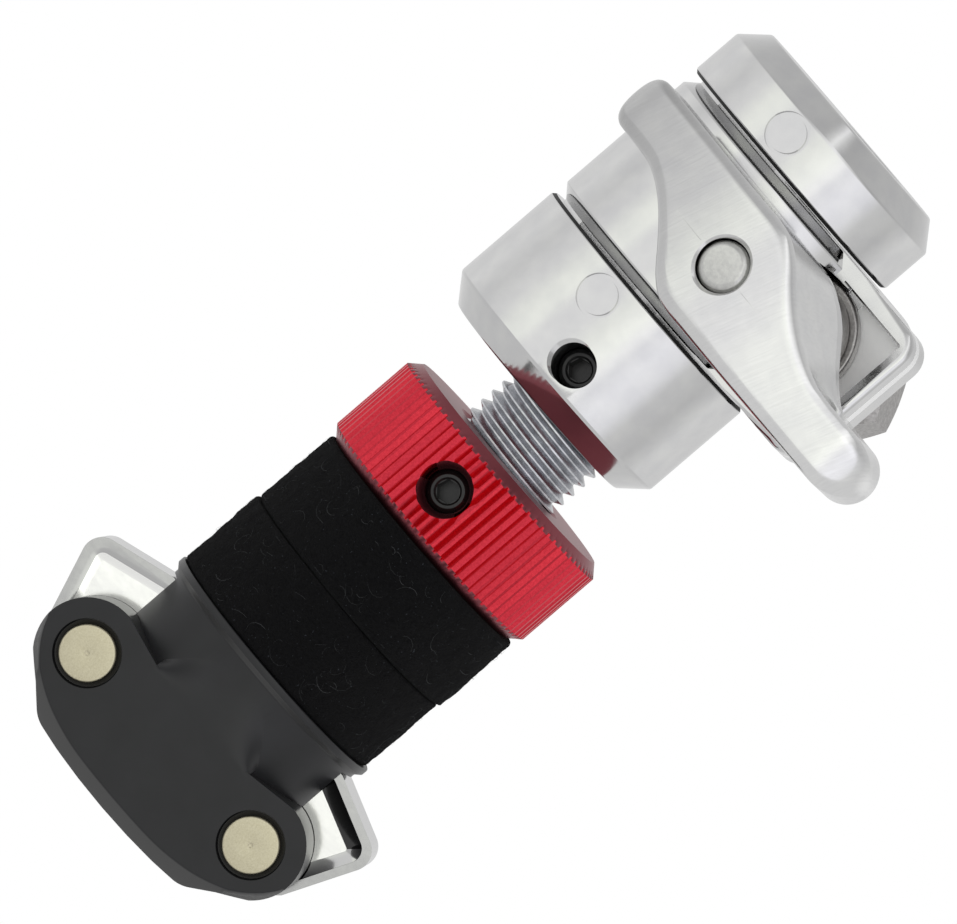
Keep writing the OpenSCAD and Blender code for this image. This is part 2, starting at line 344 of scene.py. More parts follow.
def stand_for(obj, node):
    """obj is shown in place of a CAD node: it rides with the node's body and keeps its slot."""
    body = next(name for name, nodes in RECORD["behaviour"]["bodies"].items() if node in nodes)
    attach(obj, body)
    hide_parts(node)
    slot = next(part["material_slot"] for part in RECORD["subparts"] if part["node"] == node)
    obj.data.materials.clear()
    obj.data.materials.append(MATERIALS[slot])
    flat = obj.modifiers.new("flat_faces", "WEIGHTED_NORMAL")
    flat.keep_sharp = True


# ---------------------------------------------------------------- materials

class Nodes:
    """A short way to write a node tree."""

    def __init__(self, tree):
        self.tree = tree
        tree.nodes.clear()

    def add(self, kind, inputs=None, **settings):
        node = self.tree.nodes.new(kind)
        for key, value in settings.items():
            setattr(node, key, value)
        for key, value in (inputs or {}).items():
            socket = node.inputs[key]
            if isinstance(value, bpy.types.NodeSocket):
                self.tree.links.new(value, socket)
            else:
                socket.default_value = value
        return node

    def math(self, operation, a, b=0.0, c=0.0):
        return self.add("ShaderNodeMath", {0: a, 1: b, 2: c}, operation=operation).outputs[0]

    def vector(self, operation, a, b=(0, 0, 0)):
        node = self.add("ShaderNodeVectorMath", {0: a, 1: b}, operation=operation)
        return node.outputs["Value" if operation == "DOT_PRODUCT" else "Vector"]

    def both(self, a, b):
        """A mask that is 1 where two masks are."""
        return self.math("MULTIPLY", a, b)

    def xyz(self, vector):
        return self.add("ShaderNodeSeparateXYZ", {0: vector}).outputs

    def facing(self, kind="Normal"):
        return self.add("ShaderNodeNewGeometry").outputs[kind]

    def ramp(self, value, stops):
        node = self.add("ShaderNodeValToRGB", {0: value})
        points = node.color_ramp.elements
        while len(points) < len(stops):
            points.new(0.5)
        for point, (position, colour) in zip(points, stops):
            point.position = position
            point.color = (*colour, 1)
        return node.outputs["Color"]

    def fade(self, value, low, high):
        """A mask that rises from 0 at low to 1 at high."""
        return self.ramp(value, [(low, (0, 0, 0)), (high, (1, 1, 1))])

    def mix(self, factor, a, b):
        node = self.add("ShaderNodeMix", {0: factor, 6: a, 7: b}, data_type="RGBA")
        return node.outputs[2]

    def place(self):
        """Position on the part in millimetres."""
        coordinates = self.add("ShaderNodeTexCoord")
        return self.vector("MULTIPLY", coordinates.outputs["Object"], (1 / MM,) * 3)

    def noise(self, vector, scale, detail=3.0, rough=0.5):
        inputs = {"Vector": vector, "Scale": scale, "Detail": detail, "Roughness": rough}
        return self.add("ShaderNodeTexNoise", inputs).outputs["Fac"]

    def bump(self, height, strength, distance, normal=None):
        inputs = {"Height": height, "Strength": strength, "Distance": distance * MM}
        if normal is not None:
            inputs["Normal"] = normal
        return self.add("ShaderNodeBump", inputs).outputs["Normal"]

    def finish(self, **inputs):
        """The surface itself, from Principled BSDF inputs with spaces written as underscores."""
        named = {key.replace("_", " "): value for key, value in inputs.items()}
        surface = self.add("ShaderNodeBsdfPrincipled", named)
        output = self.add("ShaderNodeOutputMaterial")
        self.tree.links.new(surface.outputs[0], output.inputs[0])


def grey(value, tint=(1, 1, 1)):
    """A grey of that brightness, or a tint of it, with alpha."""
    return (value * tint[0], value * tint[1], value * tint[2], 1)


def new_material(name, build):
    """A node material; build draws its tree."""
    material = bpy.data.materials.new(name)
    material.use_nodes = True
    build(Nodes(material.node_tree))
    return material


def cast_chrome(n):
    """Satin chrome on a die casting: orange peel, fine grain, brushed lobes with painted light and shade
    across them, rough saw-cut faces darkened with painted shade, and a painted highlight on the ear's
    recessed floor.
    """
    place = n.place()
    grain = n.noise(place, 9, 4, 0.6)
    peel = n.noise(place, 0.9, 2)
    blotch = n.noise(place, 0.45, 3)
    base = n.ramp(blotch, [(0.3, (0.58, 0.58, 0.585)), (0.7, (0.63, 0.63, 0.625))])
    x, y, z = n.xyz(place)
    on_wing = n.math("LESS_THAN", y, -15.5)
    upright = n.add("ShaderNodeCombineXYZ", {0: z, 1: z, 2: z}).outputs[0]
    leaning = n.vector("ADD", place, n.vector("MULTIPLY", upright, (-0.3, 0, 0)))
    lines = n.noise(n.vector("MULTIPLY", leaning, (7, 1, 0.3)), 1.0, 4, 0.65)
    base = n.mix(n.both(on_wing, n.math("MULTIPLY", lines, 0.5)), base, grey(0.40))
    height = n.math("ABSOLUTE", z)
    from_slit = n.math("ABSOLUTE", n.math("SUBTRACT", height, CLAMP_TOP + CUT_W / 2))
    in_slit = n.both(n.math("GREATER_THAN", height, CLAMP_TOP + CUT_W + 0.01),
                     n.math("LESS_THAN", from_slit, CUT_W / 2 + 0.3))
    # painted shade: the faces inside the saw cuts are darkened almost to black; their extra roughness stands
    # for the rough sawn surface
    base = n.mix(in_slit, base, grey(0.05))
    # painted light and shade: the wing's left half is darkened and its right half lightened, standing in for
    # the light each half reflects
    lobe_painted_light = n.ramp(n.math("MULTIPLY_ADD", x, 1 / 60, 0.5),
                  [(0.3, (0.80,) * 3), (0.55, (1.05,) * 3), (0.8, (1.3,) * 3)])
    base = n.mix(on_wing, base, n.vector("MULTIPLY", base, lobe_painted_light))
    # painted highlight: the ear's recessed floor beside the bolt is made near white, standing in for the
    # bright light it reflects; it is also made rougher
    from_floor = n.math("ABSOLUTE", n.math("SUBTRACT", y, EAR_FLOOR - 0.3))
    tray = n.both(n.math("LESS_THAN", from_floor, 0.5), n.math("GREATER_THAN", x, BOLT_X + 2))
    base = n.mix(tray, base, grey(0.92))
    rough = n.math("MULTIPLY_ADD", grain, 0.06, 0.07)
    for mask, extra in ((on_wing, 0.07), (tray, 0.4), (in_slit, 0.5)):
        rough = n.math("MULTIPLY_ADD", mask, extra, rough)
    normal = n.bump(peel, 0.07, 0.05)
    normal = n.bump(grain, 0.05, 0.01, normal)
    normal = n.bump(n.both(lines, on_wing), 0.2, 0.02, normal)
    n.finish(Base_Color=base, Metallic=1.0, Roughness=rough, Normal=normal)


def zinc_steel(n):
    """Zinc-plated thread: bluish grey with fine turning marks."""
    place = n.place()
    marks = n.noise(n.vector("MULTIPLY", place, (1.5, 1.5, 14)), 1.0, 3)
    blotch = n.noise(place, 1.3, 4, 0.65)
    base = n.ramp(blotch, [(0.3, (0.42, 0.43, 0.45)), (0.7, (0.64, 0.65, 0.68))])
    normal = n.bump(marks, 0.15, 0.02)
    n.finish(Base_Color=base, Metallic=1.0, Roughness=0.22, Normal=normal)


def black_screw(n):
    """Black oxide on a socket screw."""
    grain = n.noise(n.place(), 6, 3)
    rough = n.math("MULTIPLY_ADD", grain, 0.2, 0.22)
    n.finish(Base_Color=grey(0.006), Metallic=0.0, Roughness=rough, Specular_IOR_Level=0.5,
             Normal=n.bump(grain, 0.2, 0.02))


def bolt_steel(n):
    """Plated steel with a slightly brown, peened surface, brighter on the riveted end of the bolt."""
    place = n.place()
    pits = n.noise(place, 3.2, 4, 0.6)
    base = n.ramp(pits, [(0.3, (0.27, 0.26, 0.255)), (0.65, (0.42, 0.41, 0.40))])
    bright = n.ramp(pits, [(0.3, (0.50, 0.50, 0.49)), (0.65, (0.60, 0.60, 0.58))])
    riveted_end = n.math("LESS_THAN", n.xyz(place)[1], BOLT_LOW.y + 1.5)
    base = n.mix(riveted_end, base, bright)
    n.finish(Base_Color=base, Metallic=1.0, Roughness=0.3, Normal=n.bump(pits, 0.35, 0.04))


def red_anodised(n):
    """Red anodised aluminium, duller on the turned end faces than on the knurl."""
    place = n.place()
    end_face = n.math("GREATER_THAN", n.math("ABSOLUTE", n.xyz(n.facing())[2]), 0.3)
    grain = n.noise(place, 5, 3)
    knurl = n.ramp(grain, [(0.3, (0.46, 0.025, 0.040)), (0.7, (0.58, 0.036, 0.055))])
    base = n.mix(end_face, knurl, grey(1, (0.27, 0.07, 0.085)))
    rough = n.math("MULTIPLY_ADD", end_face, 0.18, 0.16)
    n.finish(Base_Color=base, Metallic=1.0, Roughness=rough, Normal=n.bump(grain, 0.06, 0.02))


def black_felt(n):
    """Pressed black felt: matted fibres, a little sheen, stray pale specks and lint."""
    place = n.place()
    drift = n.add("ShaderNodeTexNoise", {"Vector": place, "Scale": 0.8}).outputs["Color"]
    warped = n.vector("ADD", place, n.vector("MULTIPLY", drift, (1.2, 1.2, 1.2)))
    fibres = n.noise(n.vector("MULTIPLY", warped, (1, 1, 2.2)), 3.5, 5, 0.7)
    clumps = n.noise(place, 0.5, 3)
    base = n.ramp(fibres, [(0.35, (0.002, 0.002, 0.0023)), (0.75, (0.0085, 0.0085, 0.0095))])
    specks = n.fade(n.noise(place, 5.5, 1), 0.735, 0.76)
    base = n.mix(specks, base, grey(1, (0.05, 0.055, 0.065)))
    lint = n.add("ShaderNodeAttribute", attribute_name="lint").outputs["Fac"]
    base = n.mix(lint, base, grey(1, (0.09, 0.093, 0.097)))
    height = n.math("ADD", fibres, clumps)
    n.finish(Base_Color=base, Roughness=1.0, Specular_IOR_Level=0.03, Sheen_Weight=0.03,
             Sheen_Roughness=0.6, Normal=n.bump(height, 1.0, 0.35))


def dark_housing(n):
    """Moulded dark grey plastic, satin with a very fine grain, with painted light from below lightening its
    lower edges.
    """
    place = n.place()
    grain = n.noise(place, 7, 3, 0.6)
    blotch = n.noise(place, 0.35, 2)
    base = n.ramp(blotch, [(0.3, (0.0045, 0.0047, 0.0058)), (0.7, (0.0070, 0.0073, 0.0088))])
    # painted light: faces that point down are lightened, standing in for light reflected up from the floor
    down = n.math("MULTIPLY", n.xyz(n.facing())[2], -1.0)
    lit_from_below = n.fade(down, 0.25, 0.7)
    base = n.mix(lit_from_below, base, grey(0.045))
    rough = n.math("MULTIPLY_ADD", grain, 0.10, 0.30)
    n.finish(Base_Color=base, Roughness=rough, Specular_IOR_Level=0.42, Normal=n.bump(grain, 0.08, 0.012))


def polished_chrome(n):
    """Polished chrome on the levers, with painted reflections: grey rims and walls, bright dished floors, and
    darker down-facing upper walls.
    """
    place = n.place()
    peel = n.noise(place, 0.6, 2)
    smudge = n.noise(place, 1.1, 4)
    across = (math.sin(UNIT_TURN), -math.cos(UNIT_TURN), 0)
    facing = n.facing("True Normal")
    level = n.math("ABSOLUTE", n.vector("DOT_PRODUCT", facing, across))
    off_middle = n.math("ABSOLUTE", n.vector("DOT_PRODUCT", place, across))
    flat = 0.9975  # faces this level count as the dish's floor
    in_dish = n.math("LESS_THAN", off_middle, LEVER_HALF - 0.02)
    floor = n.both(n.math("GREATER_THAN", level, flat), in_dish)
    # painted reflection: the dish floors are made near white and the rims and walls mid grey, standing in for
    # the light each reflects
    base = n.mix(floor, grey(0.49, (1, 1, 0.995)), grey(0.96, (1, 1, 0.975)))
    walls = n.both(n.both(n.math("GREATER_THAN", level, 0.12), n.math("LESS_THAN", level, flat)), in_dish)
    # down-facing walls of the dish are darkened almost to black
    darker_upper_walls = n.both(n.math("LESS_THAN", n.xyz(facing)[2], -0.2), walls)
    base = n.mix(darker_upper_walls, base, grey(0.06))
    rough = n.math("MULTIPLY_ADD", smudge, 0.08, 0.06)
    n.finish(Base_Color=base, Metallic=1.0, Roughness=rough, Normal=n.bump(peel, 0.08, 0.05))


def pin_nickel(n):
    """Turned nickel-plated pin ends with a speckled, slightly yellow face."""
    place = n.place()
    speckle = n.noise(place, 7, 4, 0.65)
    base = n.ramp(speckle, [(0.3, (0.47, 0.43, 0.30)), (0.7, (0.60, 0.56, 0.42))])
    rough = n.math("MULTIPLY_ADD", speckle, 0.2, 0.24)
    n.finish(Base_Color=base, Metallic=1.0, Roughness=rough, Normal=n.bump(speckle, 0.15, 0.03))


def spring_steel(n):
    """Bright spring wire with fine drawing marks."""
    place = n.place()
    marks = n.noise(place, 8, 2)
    base = n.ramp(marks, [(0.3, (0.46, 0.46, 0.48)), (0.7, (0.6, 0.6, 0.62))])
    n.finish(Base_Color=base, Metallic=1.0, Roughness=0.28)


FINISHES = [cast_chrome, zinc_steel, black_screw, bolt_steel, red_anodised, black_felt, dark_housing,
            polished_chrome, pin_nickel, spring_steel]
MATERIALS = {build.__name__: new_material(build.__name__, build) for build in FINISHES}


# ---------------------------------------------------------------- clamp body

def round_section(r, z0, z1, low, high):
    """One round section of the body. low and high are (chamfer width, chamfer height, rounding)."""
    profile = rounded([(0, z0), (r - low[0], z0, low[2]), (r, z0 + low[1], low[2]),
                       (r, z1 - high[1], high[2]), (r - high[0], z1, high[2]), (0, z1)])
    return lathe("section", profile, about_z(BODY_X), 220)


def ear():
    """The slab that carries the wing, with rounded corners and a rounded front edge."""
    slab = prism("ear", rounded_block(BODY_X, BODY_HIGH.x, CLAMP_TOP, 2.4, 8), EAR_RIM, EAR_BACK)
    return bevel_where(slab, lambda p: p.y < EAR_RIM + 0.01 and p.x > BODY_X + 1, 0.7)


def far_jaw():
    """The clamp's jaw on the other side of its slot, where the bolt's nut bears."""
    outline = rounded_block(BODY_X, BOLT_X + 4.5, CLAMP_TOP, 4, 10)
    jaw = prism("jaw", outline, EAR_BACK + 0.5, JAW_BACK)
    return bevel_where(jaw, lambda p: p.x > BODY_X + 1 and p.y > EAR_BACK + 1, 0.8)


def rounded_block(x0, x1, half, radius, steps):
    """A rectangle from x0 to x1 whose two corners at x1 are rounded."""
    return rounded([(x0, -half), (x1, -half, radius), (x1, half, radius), (x0, half)], steps)


def ejector_mark(z):
    """Two cutters that leave a flat round land inside a thin ring groove on the body's front."""
    turn = math.radians(7.5)
    mark_r, groove = 2.05, 0.28
    direction = Vector((math.sin(turn), -math.cos(turn), 0))
    aim = direction.to_track_quat("Z", "Y").to_matrix().to_4x4()
    place = Matrix.Translation(Vector((BODY_X, 0, z)) * MM) @ aim
    ring = lathe("mark", [(mark_r - groove, BODY_R - 0.42), (mark_r, BODY_R - 0.42),
                          (mark_r + 0.06, BODY_R + 1), (mark_r - groove - 0.06, BODY_R + 1)], about_z(), 72)
    land = lathe("land", [(0, BODY_R - 0.13), (mark_r - 0.1, BODY_R - 0.13), (mark_r - 0.1, BODY_R + 1),
                          (0, BODY_R + 1)], about_z(), 72)
    for cutter in (ring, land):
        cutter.data.transform(place)
    return [ring, land]


def clamp_body():
    """The die casting: two collars, the sawn-off clamp section between them, its ear and all holes."""
    slit_edge = (0.35, 0.35, 0.15)
    end_edge = (2.15, 2.35, 0.5)
    clamp_edge = (CLAMP_EDGE, CLAMP_EDGE, 0.25)
    socket_top = -CLAMP_TOP - CUT_W
    body = round_section(CLAMP_R, -CLAMP_TOP, CLAMP_TOP, clamp_edge, clamp_edge)
    top = round_section(BODY_R, CLAMP_TOP + CUT_W, BODY_HIGH.z, slit_edge, end_edge)
    socket = round_section(BODY_R, BODY_LOW.z, socket_top, end_edge, slit_edge)
    spine_r = CLAMP_R - CLAMP_EDGE
    spine = lathe("spine", [(0, socket_top - 2), (spine_r, socket_top - 2), (spine_r, CLAMP_TOP + 2),
                            (0, CLAMP_TOP + 2)], about_z(BODY_X), 220)
    wide = 2 * BEYOND
    keep = prism("keep", [(-wide, -wide), (SPINE_X, -wide), (SPINE_X, wide), (-wide, wide)], -wide, wide)
    boolean(spine, "INTERSECT", [keep])
    boolean(body, "UNION", [ear(), far_jaw()])
    boolean(body, "UNION", [spine])
    boolean(body, "UNION", [top, socket])
    gap_z = CLAMP_TOP + 0.3
    gap = prism("gap", [(BODY_X, -gap_z), (wide, -gap_z), (wide, gap_z), (BODY_X, gap_z)], EAR_BACK,
                EAR_BACK + 1.5)
    pocket_r = 6.15
    pocket = lathe("pocket", rounded([(0, EAR_FLOOR), (pocket_r, EAR_FLOOR, 0.3), (pocket_r, -BEYOND),
                                      (0, -BEYOND)]), about_y(BOLT_X, 0), 128)
    side_wall, end_wall = 1.3, 1.5
    tray = prism("tray", rounded_block(BOLT_X, BODY_HIGH.x - side_wall, CLAMP_TOP - end_wall, 0.25, 6),
                 -BEYOND, EAR_FLOOR)
    bevel_where(tray, lambda p: p.y > EAR_FLOOR - 0.01, 0.7)
    screw_z = BODY_LOW.z + 4.9
    mouth_y = -BODY_R + 0.9
    screw = y_cutter(SCREW_R + 0.05, -BEYOND, 0, 0, screw_z)
    mouth = lathe("mouth", [(0, -BODY_R - 1), (SCREW_R + 1.9, -BODY_R - 1), (SCREW_R, mouth_y), (0, mouth_y)],
                  about_y(0, screw_z), 64)
    for cutter in (screw, mouth):
        turned(cutter, math.radians(BODY_SCREW_TURN))
    bore = rod_cutter(ROD_R, -CLAMP_TOP - 1, CLAMP_TOP + 1)
    upper_bore = rod_cutter(BORE_R, CLAMP_TOP + 1, BODY_HIGH.z, flare_high=0.6)
    lower_bore = rod_cutter(THREAD_R + 0.02, BODY_LOW.z, BODY_LOW.z + 10, flare_low=0.5)
    middle_bore = rod_cutter(BORE_R, BODY_LOW.z + 9, -CLAMP_TOP - 1)
    bolt_hole = y_cutter(BOLT_R + 0.2, -BEYOND, 30, BOLT_X, 0)
    boolean(body, "DIFFERENCE", [gap, pocket, tray, screw, bolt_hole])
    boolean(body, "DIFFERENCE", [bore, upper_bore, lower_bore, middle_bore, mouth])
    for height in (CLAMP_TOP + 3.1, -CLAMP_TOP - 3.0):
        boolean(body, "DIFFERENCE", ejector_mark(height))
    body.name = "clamp_body_cast"
    return body


# ---------------------------------------------------------------- clamp screw and wing

WING_REACH = WING_HIGH.x - BOLT_X
TIP_R = 2.85
TIP_X = WING_REACH - TIP_R
TIP_Z = -3.65
WING_FRONT = WING_LOW.y
HUB_BACK = -9.4
EDGE_R = 1.05
STEM_R = 2.42  # the bolt's riveted stem, inside the wing
FRONT_BEND = [(0.0, 6.4), (2.0, 6.1), (4.0, 4.95), (6.0, 3.3), (8.1, 1.75), (10.2, 0.5), (12.4, -0.4),
              (14.3, -0.75)]
BACK_BEND = [(0.0, 6.2), (2.0, 6.1), (4.1, 5.55), (5.6, 4.9), (7.1, 3.9), (8.3, 2.8), (10.2, 1.1),
             (12.6, -0.4), (14.4, -0.75)]


def wing_outline(bend):
    """The S-shaped outline: from above the hub round the right tip to below the hub, then its half turn."""
    half = spline(bend + [(TIP_X - 0.2, TIP_Z + TIP_R)], 6)
    half += arc(TIP_X, TIP_Z, TIP_R, 84, -90, 22)
    tip_low = TIP_Z - TIP_R
    for k in range(1, 14):
        half.append((TIP_X * (1 - k / 14), tip_low - (tip_low + bend[0][1]) * k / 14))
    return half + [(-x, -z) for x, z in half]


def distance_to(point, outline):
    """Shortest distance from a point to a closed outline."""
    best = 1e9
    p = Vector(point)
    for i, a in enumerate(outline):
        a, b = Vector(a), Vector(outline[(i + 1) % len(outline)])
        along = b - a
        t = max(0, min(1, (p - a).dot(along) / max(along.length_squared, 1e-12)))
        best = min(best, (a + along * t - p).length)
    return best


def edge_drop(distance):
    """How far the wing's rounded edge falls back at a distance inside the outline."""
    short = max(0.0, EDGE_R - distance)
    return EDGE_R - math.sqrt(max(0.0, EDGE_R ** 2 - short ** 2))


def front_drop(x):
    """How far the front face lies behind the hub's middle: a bend there, straight lobes, round noses."""
    bend_r, straight, nose_r = 25.6, 7.6, 4.0
    reach = abs(x)
    if reach < straight:
        return bend_r - math.sqrt(bend_r ** 2 - reach ** 2)
    slope = straight / math.sqrt(bend_r ** 2 - straight ** 2)
    drop = bend_r - math.sqrt(bend_r ** 2 - straight ** 2) + slope * (reach - straight)
    nose = max(0.0, reach - (WING_REACH - nose_r)) / nose_r
    return drop + 3.6 * (1 - math.sqrt(max(0.0, 1 - nose ** 2)))


def back_depth(x, z):
    """Where the wing's back lies: just clear of the body near the hub, then forwards to the tips."""
    return -13.4 - 2.2 * smoothstep(8, WING_REACH, math.hypot(x, z))


def wing_handle():
    """The wing, meshed between its front and back outlines, with its hub, its hole and two cast lines."""
    outlines = wing_outline(FRONT_BEND), wing_outline(BACK_BEND)
    reach = min(max(x for x, z in outline) for outline in outlines) - 0.002
    stations, across = 190, 30
    verts = []
    for i in range(stations + 1):
        x = -reach * math.cos(math.pi * i / stations)
        for back, outline in enumerate(outlines):
            low, high = crossing(outline, x)
            for k in range(across + 1):
                v = 0.5 - 0.5 * math.cos(math.pi * k / across)
                z = low + (high - low) * (1 - v if back else v)
                drop = edge_drop(distance_to((x, z), outline))
                y = back_depth(x, z) - drop if back else WING_FRONT + front_drop(x) + drop
                verts.append((BOLT_X + x, y, z))
    wing = new_object("wing_cast", verts, ring_faces(2 * (across + 1), stations), 40)
    hub_r = 5.95
    hub = lathe("hub", rounded([(0, -15), (hub_r, -15), (hub_r, HUB_BACK, 0.5), (0, HUB_BACK)], 5),
                about_y(BOLT_X, 0), 144)
    boolean(wing, "UNION", [hub], 40)
    recess = lathe("recess", [(0, WING_FRONT - 1), (STEM_R + 1.4, WING_FRONT - 1),
                              (STEM_R + 0.36, WING_FRONT + 0.08), (STEM_R + 0.1, WING_FRONT + 0.36),
                              (STEM_R + 0.05, WING_FRONT + 8.9), (BOLT_R + 0.05, WING_FRONT + 8.9),
                              (BOLT_R + 0.05, 1), (0, 1)], about_y(BOLT_X, 0), 96)
    boolean(wing, "DIFFERENCE", [recess], 40)
    for x0, x1, z in ((-8.3, -3.1, 0.0), (2.7, 5.5, -0.33)):
        wedge = [(BOLT_X + x0, z), (BOLT_X + x1, z - 0.045), (BOLT_X + x1, z + 0.045)]
        depth = front_drop((x0 + x1) / 2) + 0.35
        boolean(wing, "DIFFERENCE", [prism("line", wedge, WING_FRONT - 1, WING_FRONT + depth)], 40)
    return sagged(wing)


def crossing(outline, x):
    """Lowest and highest z of a closed outline at x."""
    hits = []
    for i, (x0, z0) in enumerate(outline):
        x1, z1 = outline[(i + 1) % len(outline)]
        if (x0 - x) * (x1 - x) <= 0 and x0 != x1:
            hits.append(z0 + (z1 - z0) * (x - x0) / (x1 - x0))
    return min(hits), max(hits)


def wing_bolt():
    """The bolt's shank with the collar under the wing, and its front end riveted over in the wing."""
    front, end = BOLT_LOW.y, BOLT_HIGH.y - 0.1
    collar_r, collar_front, collar_back = 5.35, HUB_BACK + 0.05, WASHER_LOW.y - 0.13
    shank = rounded([(0, front), (STEM_R - 0.55, front + 0.02, 0.5), (STEM_R - 0.25, front + 0.28, 0.15),
                     (STEM_R, front + 0.6, 0.2), (STEM_R, front + 9.2), (BOLT_R, front + 9.2),
                     (BOLT_R, collar_front), (collar_r, collar_front, 0.2), (collar_r, collar_back, 0.3),
                     (BOLT_R, collar_back), (BOLT_R, end - 0.6), (BOLT_R - 0.6, end), (0, end)], 5)
    return sagged(lathe("wing_bolt_turned", shank, about_y(BOLT_X, 0), 96))


def hub_washer():
    """Pressed washer between the wing's hub and the ear's recessed face."""
    inner = BOLT_R + 0.2
    outer = (WASHER_HIGH.x - WASHER_LOW.x) / 2
    profile = rounded([(inner, WASHER_LOW.y, 0.15), (outer, WASHER_LOW.y, 0.3), (outer, WASHER_HIGH.y, 0.15),
                       (inner, WASHER_HIGH.y, 0.1)], 4)
    return lathe("hub_washer_pressed", profile, about_y(BOLT_X, 0), 128)


def hex_nut():
    """Hexagon nut with both faces chamfered to a circle and a chamfered bore."""
    corner = (HEX_HIGH.x - HEX_LOW.x) / 2
    flats = corner * math.cos(math.pi / 6)
    front, back = HEX_LOW.y, HEX_HIGH.y
    hexagon = [(BOLT_X + x, z) for x, z in (polar(corner, TURN * k / 6) for k in range(6))]
    nut = prism("hex_nut_pressed", hexagon, front - 1, back + 1)
    dome = lathe("dome", [(0, front), (flats - 0.1, front), (corner + 0.3, front + 0.9),
                          (corner + 0.3, back - 0.9), (flats - 0.1, back), (0, back)],
                 about_y(BOLT_X, 0), 96)
    boolean(nut, "INTERSECT", [dome])
    bore = lathe("bore", [(0, front - 1), (BOLT_R + 1.5, front - 1), (BOLT_R + 0.05, front + 0.5),
                          (BOLT_R + 0.05, back - 0.5), (BOLT_R + 1.5, back + 1), (0, back + 1)],
                 about_y(BOLT_X, 0), 64)
    return boolean(nut, "DIFFERENCE", [bore], 25)


# ---------------------------------------------------------------- tube, nuts and screws

def threaded_tube():
    """The hollow tube and its thread, a ridge swept along the helix."""
    core_r = THREAD_R - 0.61 * PITCH
    end = TUBE_LOW.z
    neck_z = BODY_LOW.z
    profile = [(BORE_R, end + 0.3), (BORE_R, TUBE_HIGH.z), (THREAD_R - 0.5, TUBE_HIGH.z),
               (THREAD_R, TUBE_HIGH.z - 0.5), (THREAD_R, neck_z + 0.2), (core_r, neck_z), (core_r, end),
               (BORE_R + 0.3, end)]
    tube = lathe("threaded_tube_turned", profile, about_z(), 128)
    start = neck_z + 1.2
    turns = (start - end - 1.2) / PITCH
    steps = 64
    ridge = [(core_r - 0.15, 0.5), (core_r + 0.02, 0.44), (THREAD_R - 0.12, 0.13), (THREAD_R, 0.06),
             (THREAD_R, -0.06), (THREAD_R - 0.12, -0.13), (core_r + 0.02, -0.44), (core_r - 0.15, -0.5)]
    total = int(turns * steps)
    verts = []
    for i in range(total + 1):
        z = start - PITCH * i / steps - PITCH / 2
        verts += [(*polar(r, TURN * i / steps), z + offset * PITCH) for r, offset in ridge]
    return join(tube, new_object("ridge", verts, ring_faces(len(ridge), total), 50))


def hex_socket(y0, y1, z):
    """A hexagonal cutter along Y for a 2 mm key."""
    corner = 1 / math.cos(math.pi / 6)
    outline = [(x, z + up) for x, up in (polar(corner, TURN * k / 6 + 0.3) for k in range(6))]
    return prism("socket", outline, y0, y1)


def set_screw(node, turn):
    """Chamfered socket set screw that points at the tube from turn degrees beside the -Y side."""
    low, high = box_mm(node)
    z = (low.z + high.z) / 2
    turn = math.radians(turn)
    outer = (abs(low.y) - SCREW_R * math.sin(turn)) / math.cos(turn)
    inner = THREAD_R + 0.05
    profile = rounded([(0, -outer), (SCREW_R - 0.45, -outer, 0.1), (SCREW_R, -outer + 0.45, 0.1),
                       (SCREW_R, -inner - 0.4), (SCREW_R - 0.4, -inner), (0, -inner)], 4)
    screw = lathe(node + "_turned", profile, about_y(0, z), 64)
    mouth = lathe("mouth", [(0, -outer - 1), (2.2, -outer - 1), (1.1, -outer + 0.2), (0, -outer + 0.2)],
                  about_y(0, z), 48)
    boolean(screw, "DIFFERENCE", [hex_socket(-outer - 1, -outer + 1.8, z), mouth])
    return turned(screw, turn)


def adjust_nut():
    """Knurled nut: straight teeth round the rim, plain chamfers, and the set screw's hole."""
    teeth, depth, edge = 80, 0.34, 1.05
    z0, z1 = NUT_LOW.z, NUT_HIGH.z

    def knurl(r, turn, h):
        floor = NUT_R - depth
        if r <= floor:
            return r
        tooth = abs(2 * (turn * teeth / TURN % 1) - 1)
        return min(r, floor + depth * min(1, 1.35 * tooth))

    steps = [(NUT_R - edge + edge * k / 4, k * edge / 4) for k in range(5)]
    profile = [(THREAD_R + 0.05, z0 + 0.5), (THREAD_R + 0.55, z0)]
    profile += [(r, z0 + h) for r, h in steps]
    profile += [(r, z1 - h) for r, h in reversed(steps)]
    profile += [(THREAD_R + 0.55, z1), (THREAD_R + 0.05, z1 - 0.5)]
    nut = lathe("adjust_nut_knurled", profile, about_z(), teeth * 8, knurl, 22)
    middle = (z0 + z1) / 2
    hole = lathe("hole", [(0, -NUT_R - 1), (2.65, -NUT_R - 1), (2.6, -NUT_R + 0.5),
                          (SCREW_R + 0.3, -NUT_R + 0.9), (SCREW_R + 0.05, -NUT_R + 1.5),
                          (SCREW_R + 0.05, -1), (0, -1)], about_y(0, middle), 72)
    turned(hole, math.radians(NUT_SCREW_TURN))
    return boolean(nut, "DIFFERENCE", [hole], 22)


# ---------------------------------------------------------------- felts

